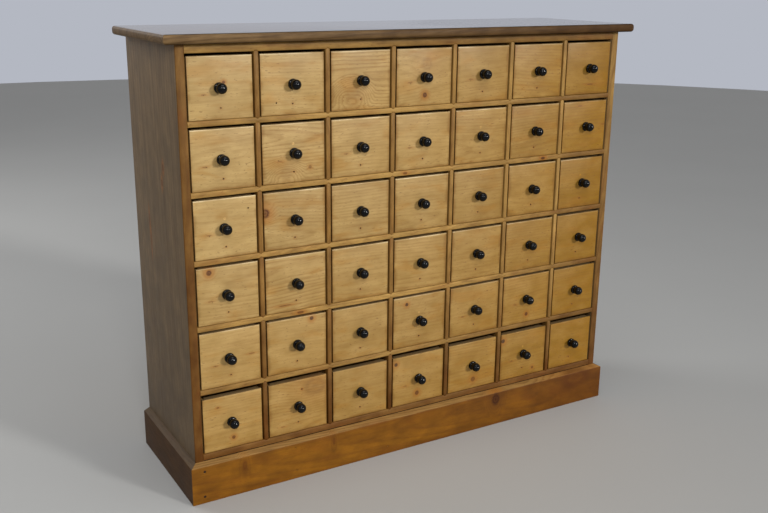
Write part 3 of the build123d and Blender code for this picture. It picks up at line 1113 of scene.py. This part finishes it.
def let_into_sides(board):
    """The ends behind the stop go into the housings of the sides."""
    s = bpy.context.scene.cabinet_sizes
    stop = CASE_FRONT + s.housing_stop
    with editing(board):
        bpy.ops.mesh.select_all(action="SELECT")
        cut_line(Y, stop)
        for side in (-1, 1):
            choose(
                board, "FACE",
                lambda face: lies(face, X, side * HALF_INNER) and middle(face).y > stop,
            )
            pull_out((side * s.housing, 0, 0))


def add_shelf(name, kind, top_grooves, under_grooves, knots=(), shade=1.0, shadow_line_top=None):
    """A board between the sides whose front edge runs right through."""
    s = bpy.context.scene.cabinet_sizes
    low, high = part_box(name)
    board = add_block(f"{name}_wood", (-HALF_INNER, low.y, low.z), (HALF_INNER, high.y, high.z))
    heights = []
    if top_grooves:
        heights.append((high.z, -1))
    if under_grooves:
        heights.append((low.z, 1))
    shape_grooves(board, heights)
    ease_front(board, [low.z, high.z], low.y)
    let_into_sides(board)
    if shadow_line_top:
        with editing(board):
            bpy.ops.mesh.select_all(action="SELECT")
            cut_line(Z, shadow_line_top)
    saw_board(
        board, (1, 0, 0), (0, -1, 0), kind, depth=(15, 60), knots=knots, tone=0.03, shade=shade
    )
    place_piece(board, CASE, finish_named("brown_waxed_pine"), [name])
    if shadow_line_top:
        # the strip above the plinth: a painted shadow line in the joint
        second_finish(
            board, "grimy_pine_joint",
            lambda face: face.center.z < shadow_line_top and face.center.y < low.y + s.board_ease,
        )


# Knots in the front edges of the shelves: x in metres, radius in mm, strength and stretch.
SHELF_KNOTS = {
    "shelf_2": [(0.369, 4, 1.5, 1.6), (-0.05, 3, 0.8, 2)],
    "shelf_4": [(-0.33, 3, 0.8, 3)],
}


# Boards that are darker than the rest; the rail's darkness is painted shadow under the overhang of the
# top.
SHELF_SHADES = {"top_rail_front": 0.88, "shelf_1": 0.92, "shelf_5": 0.94}

# Width of the dark line above the plinth: painted shadow in the joint.
SHADOW_LINE = 2 * MM


def add_shelves():
    """The shelves, the rail under the top and the bottom board."""
    for name in SHELVES + ["top_rail_front", "bottom_board"]:
        low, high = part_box(name)
        knots = [
            (Vector((x, low.y, (low.z + high.z) / 2)), *kind)
            for x, *kind in SHELF_KNOTS.get(name, [])
        ]
        rail = name == "top_rail_front"
        lowest = name == "bottom_board"
        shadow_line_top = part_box("plinth_front")[1].z + SHADOW_LINE if lowest else None
        add_shelf(
            name, "rail" if rail else "shelves", not rail, not lowest, knots,
            SHELF_SHADES.get(name, 1.0), shadow_line_top,
        )


def model_divider(name, low, high):
    """An upright divider, pointed at both ends, with rounded front edges."""
    s = bpy.context.scene.cabinet_sizes
    half = s.divider / 2
    board = add_block(name, (-half, CASE_FRONT, low), (half, BACK_FACE, high))
    with editing(board):
        bpy.ops.mesh.select_all(action="SELECT")
        cut_line(X, 0)
        for height, direction in ((low, -1), (high, 1)):
            choose(board, "VERT", lambda vertex: lies(vertex, X, 0) and lies(vertex, Z, height))
            bpy.ops.transform.translate(value=(0, 0, direction * s.point_depth))
        choose(
            board, "EDGE",
            lambda edge: lies(edge, Y, CASE_FRONT) and not lies(edge, X, 0),
        )
        round_edges(s.board_ease)
    return board


def add_dividers():
    """The upright dividers of every row, one model for each height."""
    for row in range(1, ROWS + 1):
        floor, ceiling = row_heights(row)
        model = model_divider("divider_model", floor, ceiling)
        for number, x in enumerate(divider_places(), 1):
            board = copy_piece(model, f"divider_r{row}_{number}", (x, 0, 0))
            # the lowest row is darker: painted shade towards the floor
            shade = 0.9 if row == ROWS else 1.0
            saw_board(
                board, (0, 0, 1), (0, -1, 0), "dividers", depth=(15, 60), tone=0.08, shade=shade
            )
            place_piece(
                board, CASE, finish_named("brown_waxed_pine"), ["dividers"]
            )
        bpy.data.objects.remove(model)


# ---- Sides, top, plinth and back ----

# Knots and shakes of the side boards: y and z in metres, radius in mm, strength and stretch.
SIDE_KNOTS = [
    (-0.040, 0.762, 3.5, 1.6, 2.5),
    (-0.027, 0.726, 3.0, 1.5, 3.0),
    (0.083, 0.618, 2.2, 1.6, 8.0),
    (0.077, 0.568, 2.2, 1.4, 9.0),
]


def add_side(name, side):
    """A side board: housings for the shelves inside, a rebate for the back boards."""
    s = bpy.context.scene.cabinet_sizes
    low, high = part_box(name)
    board = add_block(f"{name}_wood", low, high)
    with editing(board):
        choose(
            board, "EDGE",
            lambda edge: lies(edge, Y, CASE_FRONT) and lies(edge, X, edge.verts[0].co.x),
        )
        round_edges(s.board_ease)
    cutters = []
    for node in SHELVES + ["bottom_board", "top_rail_front", "top_rail_back"]:
        shelf_low, shelf_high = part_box(node)
        start = max(shelf_low.y, CASE_FRONT + s.housing_stop)
        ends = sorted((side * (HALF_INNER - s.housing), side * (HALF_INNER + s.housing)))
        cutters.append(
            add_block("housing", (ends[0], start, shelf_low.z), (ends[1], shelf_high.y, shelf_high.z))
        )
    ends = sorted((side * (HALF_INNER - s.back_rebate), side * (HALF_INNER + s.back_rebate)))
    over = 10 * MM
    cutters.append(
        add_block("rebate", (ends[0], BACK_FACE, -over), (ends[1], CASE_BACK + over, high.z + over))
    )
    for cutter in cutters:
        carve(board, [cutter])
    knots = [(Vector((low.x, y, z)), *kind) for y, z, *kind in SIDE_KNOTS]
    saw_board(
        board, (0, 0, 1), (side, 0, 0), "sides", depth=(40, 120), knots=knots, tone=0,
        figure=(0.6, 0.8), shade=0.9,
    )
    place_piece(board, CASE, finish_named("dark_stained_pine"), [name])
    eased = CASE_FRONT + s.board_ease
    second_finish(board, "brown_waxed_pine", lambda face: face.center.y < eased)


# Rounding of the upright front corners of the top.
TOP_CORNER = 2 * MM


def add_top():
    """The overhanging top with its softly rounded edges."""
    s = bpy.context.scene.cabinet_sizes
    low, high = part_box("top_board")
    board = add_block("top_board_wood", low, high)
    with editing(board):
        choose(
            board, "EDGE",
            lambda edge: abs(edge.verts[0].co.z - edge.verts[1].co.z) > TINY and lies(edge, Y, low.y),
        )
        round_edges(TOP_CORNER, 2)
        choose(
            board, "EDGE",
            lambda edge: (lies(edge, Z, low.z) or lies(edge, Z, high.z))
            and not lies(edge, Y, high.y),
        )
        round_edges(s.top_round, 5)
    saw_board(board, (1, 0, 0), (0, 0, 1), "top", depth=(30, 80), tone=0, figure=(0.6, 0.8))
    place_piece(board, CASE, finish_named("polished_pine_top"), ["top_board"])
    second_finish(board, "handled_pine_edges", lambda face: face.normal.z < 0.85)


# Knots of the plinth: x and z in metres, radius in mm, strength, stretch along the grain and push.
# Branches cut lengthwise stand upright, so their stretch is small.
PLINTH_KNOTS = [
    (-0.486, 0.070, 13, 0.5, 0.45, 1.0),
    (-0.252, 0.074, 11, 0.55, 0.4, 1.0),
    (0.240, 0.074, 17, 1.5, 0.75, 2.0),
    (0.520, 0.078, 30, 0.5, 1.8, 0.5),
]

# Nail heads near the left mitre of the plinth.
PLINTH_NAILS = [(-0.584, 0.080), (-0.586, 0.017)]

# Pin holes in the plinth front.
PLINTH_HOLES = [(-0.355, 0.082), (-0.353, 0.022), (-0.098, 0.021)]

# A nail head and its hole: their radii, how deep they are, how far the middle of the head lies
# behind the plinth's face, and its rounding.
NAIL_HEAD = 3.0 * MM
NAIL_THICKNESS = 1.0 * MM
NAIL_SUNK = 1.2 * MM
NAIL_ROUND = 0.3 * MM
NAIL_HOLE = 3.3 * MM
NAIL_HOLE_DEPTH = 3 * MM

# Rounding of the long outer edges of the plinth.
PLINTH_EASE = 1.5 * MM


def splay(board, outer, axis, high):
    """Slopes the top of a plinth board down to its outer edge."""
    s = bpy.context.scene.cabinet_sizes
    with editing(board):
        choose(board, "VERT", lambda vertex: lies(vertex, axis, outer) and lies(vertex, Z, high))
        bpy.ops.transform.translate(value=(0, 0, -s.plinth_splay))


def slopes_up(face):
    """Whether a face belongs to the sloping top of the plinth, paler from wear and painted light."""
    return face.normal.z > 0.7


def add_plinth():
    """Three plinth boards, splayed above and mitred at the corners."""
    s = bpy.context.scene.cabinet_sizes
    low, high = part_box("plinth_front")
    front = add_block("plinth_front_wood", low, high)
    splay(front, low.y, Y, high.z)
    with editing(front):
        for side in (-1, 1):
            trim((side * HALF_WIDTH, CASE_FRONT, 0), (side, 1, 0))
        choose(
            front, "EDGE",
            lambda edge: lies(edge, Y, low.y) and lies(edge, Z, edge.verts[0].co.z),
        )
        round_edges(PLINTH_EASE)
    heads = []
    for x, z in PLINTH_NAILS:
        place = Vector((x, low.y, z))
        carve(front, [add_pin("nail_hole", place, NAIL_HOLE, NAIL_HOLE_DEPTH)])
        sunk = place + Vector((0, NAIL_SUNK, 0))
        head = add_pin("nail_head", sunk, NAIL_HEAD, NAIL_THICKNESS)
        with editing(head):
            choose(head, "EDGE", lambda edge: lies(edge, Y, edge.verts[0].co.y))
            round_edges(NAIL_ROUND, 2)
        heads.append(head)
    holes = [
        add_pin(f"pin_hole_{number}", (x, low.y, z), s.hole_radius, 2 * s.hole_depth)
        for number, (x, z) in enumerate(PLINTH_HOLES)
    ]
    carve(front, holes)
    heads = merge_into(heads)
    heads.name = heads.data.name = "plinth_nail_heads"
    place_piece(heads, CASE, finish_named("oxidised_steel_nails"))
    knots = [(Vector((x, low.y, z)), *kind) for x, z, *kind in PLINTH_KNOTS]
    saw_board(
        front, (1, 0, 0), (0, -1, 0), "plinth", depth=(40, 90), knots=knots, tone=0,
        figure=(0.8, 0.9),
    )
    amber = finish_named("amber_stained_pine")
    place_piece(front, CASE, amber, ["plinth_front"])
    second_finish(front, "worn_pine_splay", slopes_up)
    for name, side in (("plinth_left", -1), ("plinth_right", 1)):
        low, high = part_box(name)
        board = add_block(f"{name}_wood", low, high)
        outer = side * (HALF_WIDTH + s.plinth)
        splay(board, outer, X, high.z)
        with editing(board):
            trim((side * HALF_WIDTH, CASE_FRONT, 0), (-side, -1, 0))
            choose(
                board, "EDGE",
                lambda edge: lies(edge, X, outer) and lies(edge, Z, edge.verts[0].co.z),
            )
            round_edges(PLINTH_EASE)
        # both returns are darkened to three tenths: painted shade on the side faces
        saw_board(board, (0, 1, 0), (side, 0, 0), "plinth", depth=(40, 90), tone=0, shade=0.3)
        place_piece(board, CASE, amber, [name])
        second_finish(board, "worn_pine_splay", slopes_up)


BACK_BOARDS = 7

# Gap between two back boards, and the rounding of their edges behind.
BACK_GAP = 1.2 * MM
BACK_EASE = 2.5 * MM


def add_back():
    """Upright back boards in the rebates, with eased joints, and the bare frame boards."""
    low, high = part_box("back_boards")
    width = (high.x - low.x) / BACK_BOARDS
    for number in range(BACK_BOARDS):
        left = low.x + number * width
        board = add_block(
            f"back_board_{number + 1}",
            (left + (BACK_GAP if number else 0), low.y, low.z),
            (left + width, high.y, high.z),
        )
        with editing(board):
            choose(
                board, "EDGE",
                lambda edge: lies(edge, Y, high.y) and lies(edge, X, edge.verts[0].co.x),
            )
            round_edges(BACK_EASE, 2)
        saw_board(board, (0, 0, 1), (0, 1, 0), "hidden", tone=0.1)
        place_piece(board, CASE, finish_named("unfinished_pine"), ["back_boards"])
    bare = finish_named("raw_sawn_pine")
    for node in ("plinth_back", "top_rail_back", "glue_blocks"):
        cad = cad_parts[node]
        cad.data.materials.clear()
        cad.data.materials.append(bare)


# ---- Studio ----

CAMERA_PLACE = Vector((-1.2353, -2.0652, 1.1752))
CAMERA_TURN = 0.5345
CAMERA_PITCH = -0.2870
CAMERA_ROLL = 0.0100
FOCAL_PIXELS = 960.55
IMAGE_WIDTH = 768

# Radius of the floor in metres, and the strength of the room light.
FLOOR_RADIUS = 9
ROOM_LIGHT = 0.18


def add_camera():
    """The camera at the viewing angle of the photograph."""
    camera = bpy.data.objects.new("camera", bpy.data.cameras.new("camera"))
    bpy.context.scene.collection.objects.link(camera)
    camera.data.sensor_width = 36
    camera.data.sensor_fit = "HORIZONTAL"
    camera.data.lens = FOCAL_PIXELS * camera.data.sensor_width / IMAGE_WIDTH
    forward = Vector((
        math.sin(CAMERA_TURN) * math.cos(CAMERA_PITCH),
        math.cos(CAMERA_TURN) * math.cos(CAMERA_PITCH),
        math.sin(CAMERA_PITCH),
    ))
    level = Vector((math.cos(CAMERA_TURN), -math.sin(CAMERA_TURN), 0))
    upward = level.cross(forward)
    right = level * math.cos(CAMERA_ROLL) + upward * math.sin(CAMERA_ROLL)
    up = right.cross(forward)
    turned = Matrix((right, up, -forward)).transposed().to_4x4()
    camera.matrix_world = Matrix.Translation(CAMERA_PLACE) @ turned
    bpy.context.scene.camera = camera


def add_light(kind, name, place, target, strength, tone, size):
    """A lamp at a place, turned to its target."""
    data = bpy.data.lights.new(name, kind)
    data.energy = strength
    data.color = tone
    if kind == "SUN":
        data.angle = size
    else:
        data.size = size
    lamp = bpy.data.objects.new(name, data)
    bpy.context.scene.collection.objects.link(lamp)
    lamp.location = place
    lamp.rotation_euler = (Vector(target) - Vector(place)).to_track_quat("-Z", "Y").to_euler()
    lamp.visible_camera = False


def add_floor():
    """A plain pale floor with a faint, soft mottling."""
    colours = bpy.context.scene.cabinet_colours
    bpy.ops.object.select_all(action="DESELECT")
    bpy.ops.mesh.primitive_circle_add(vertices=64, radius=FLOOR_RADIUS, fill_type="NGON")
    floor = settle(bpy.context.object, "floor")
    material, tree = new_material("plain_floor")
    place = add(tree, PLACE, out=OBJECT)
    # clouds of about 700 mm
    cloud = add(tree, NOISE, {"Vector": place, "Scale": per(700), "Detail": 2})
    shade = add(tree, RANGE, {0: cloud, LEAST: 0.97, MOST: 1.03})
    shade = add(tree, VECTOR, {0: colours.floor, "Scale": shade}, operation="SCALE")
    finish = add(tree, SURFACE, {"Base Color": shade, "Roughness": 0.7})
    add(tree, OUTPUT, {"Surface": finish})
    floor.data.materials.append(material)


def add_world():
    """Soft room light, and a pale backdrop where the camera or a reflection sees it."""
    world = bpy.data.worlds.new("studio")
    bpy.context.scene.world = world
    world.use_nodes = True
    tree = world.node_tree
    tree.nodes.clear()
    rays = add(tree, "ShaderNodeLightPath", out=ALL)
    seen = rays["Is Camera Ray"]
    for other in ("Is Glossy Ray", "Is Transmission Ray"):
        seen = add(tree, MATH, {0: seen, 1: rays[other]}, operation="MAXIMUM")
    white = opaque(linear("#FFFFFF"))
    pale_blue = opaque(linear("#B4B8C2"))
    room = add(tree, BACKGROUND, {"Color": white, "Strength": ROOM_LIGHT})
    backdrop = add(tree, BACKGROUND, {"Color": pale_blue, "Strength": 1.0})
    both = add(tree, "ShaderNodeMixShader", {0: seen, 1: room, 2: backdrop})
    add(tree, "ShaderNodeOutputWorld", {"Surface": both})


def add_stage():
    """Camera, lamps, world and floor."""
    add_camera()
    add_world()
    add_floor()
    target = (0, CASE_FRONT, 0.55)
    # the window to the right of the camera, which throws the knobs' shadows to the left
    add_light("SUN", "window", (1.95, -3.8, 1.6), target, 1.8, (1.0, 0.99, 0.97), math.radians(8))
    # a smaller lamp high on the left, whose light falls off towards the foot
    add_light("AREA", "left_lamp", (-1.3, -2.7, 2.1), target, 27, (1.0, 1.0, 1.0), 0.6)
    # a broad lamp overhead, which lights the top, the sloping edge of the plinth and the floor
    add_light("AREA", "overhead_lamp", (0, -0.9, 3.2), (0, -0.3, 0), 22, (1.0, 1.0, 1.0), 2.0)
    # a weak lamp behind on the left, for the views of the back
    add_light("AREA", "back_lamp", (-2.6, 3.0, 2.6), (0, 0, 0.5), 55, (1.0, 1.0, 1.0), 1.6)


# ---- Operators ----

class CABINET_OT_stage(bpy.types.Operator):
    """Adds the floor, the lamps and the camera"""

    bl_idname = "cabinet.stage"
    bl_label = "Studio"

    def execute(self, context):
        context.scene.view_settings.view_transform = "Standard"
        add_stage()
        return {"FINISHED"}


class CABINET_OT_drawers(bpy.types.Operator):
    """Models the drawers with their fronts, boards and knobs"""

    bl_idname = "cabinet.drawers"
    bl_label = "Drawers"

    def execute(self, context):
        add_drawers()
        return {"FINISHED"}


class CABINET_OT_shelves(bpy.types.Operator):
    """Models the shelves, the top rail and the bottom board"""

    bl_idname = "cabinet.shelves"
    bl_label = "Shelves"

    def execute(self, context):
        add_shelves()
        return {"FINISHED"}


class CABINET_OT_dividers(bpy.types.Operator):
    """Models the pointed upright dividers"""

    bl_idname = "cabinet.dividers"
    bl_label = "Dividers"

    def execute(self, context):
        add_dividers()
        return {"FINISHED"}


class CABINET_OT_sides(bpy.types.Operator):
    """Models the two side boards"""

    bl_idname = "cabinet.sides"
    bl_label = "Sides"

    def execute(self, context):
        add_side("side_panel_left", -1)
        add_side("side_panel_right", 1)
        return {"FINISHED"}


class CABINET_OT_top(bpy.types.Operator):
    """Models the overhanging top board"""

    bl_idname = "cabinet.top"
    bl_label = "Top"

    def execute(self, context):
        add_top()
        return {"FINISHED"}


class CABINET_OT_plinth(bpy.types.Operator):
    """Models the splayed and mitred plinth"""

    bl_idname = "cabinet.plinth"
    bl_label = "Plinth"

    def execute(self, context):
        add_plinth()
        return {"FINISHED"}


class CABINET_OT_back(bpy.types.Operator):
    """Models the back boards and finishes the hidden boards"""

    bl_idname = "cabinet.back"
    bl_label = "Back"

    def execute(self, context):
        add_back()
        return {"FINISHED"}


OPERATORS = (
    CABINET_OT_stage,
    CABINET_OT_drawers,
    CABINET_OT_shelves,
    CABINET_OT_dividers,
    CABINET_OT_sides,
    CABINET_OT_top,
    CABINET_OT_plinth,
    CABINET_OT_back,
)


class CABINET_PT_panel(bpy.types.Panel):
    """Sizes, colours and steps of the seed storage cabinet"""

    bl_label = "Seed storage cabinet"
    bl_idname = "CABINET_PT_panel"
    bl_space_type = "VIEW_3D"
    bl_region_type = "UI"
    bl_category = "Cabinet"

    def draw(self, context):
        for group in (context.scene.cabinet_sizes, context.scene.cabinet_colours):
            box = self.layout.box()
            for name in group.__annotations__:
                box.prop(group, name)
        for operator in OPERATORS:
            self.layout.operator(operator.bl_idname)


CLASSES = (CabinetSizes, CabinetColours, *OPERATORS, CABINET_PT_panel)


def register():
    for cls in CLASSES:
        bpy.utils.register_class(cls)
    bpy.types.Scene.cabinet_sizes = PointerProperty(type=CabinetSizes)
    bpy.types.Scene.cabinet_colours = PointerProperty(type=CabinetColours)


def unregister():
    del bpy.types.Scene.cabinet_colours
    del bpy.types.Scene.cabinet_sizes
    for cls in reversed(CLASSES):
        bpy.utils.unregister_class(cls)


def main():
    register()
    bpy.ops.cabinet.stage()
    bpy.ops.cabinet.drawers()
    bpy.ops.cabinet.shelves()
    bpy.ops.cabinet.dividers()
    bpy.ops.cabinet.sides()
    bpy.ops.cabinet.top()
    bpy.ops.cabinet.plinth()
    bpy.ops.cabinet.back()


if __name__ == "__main__":
    main()
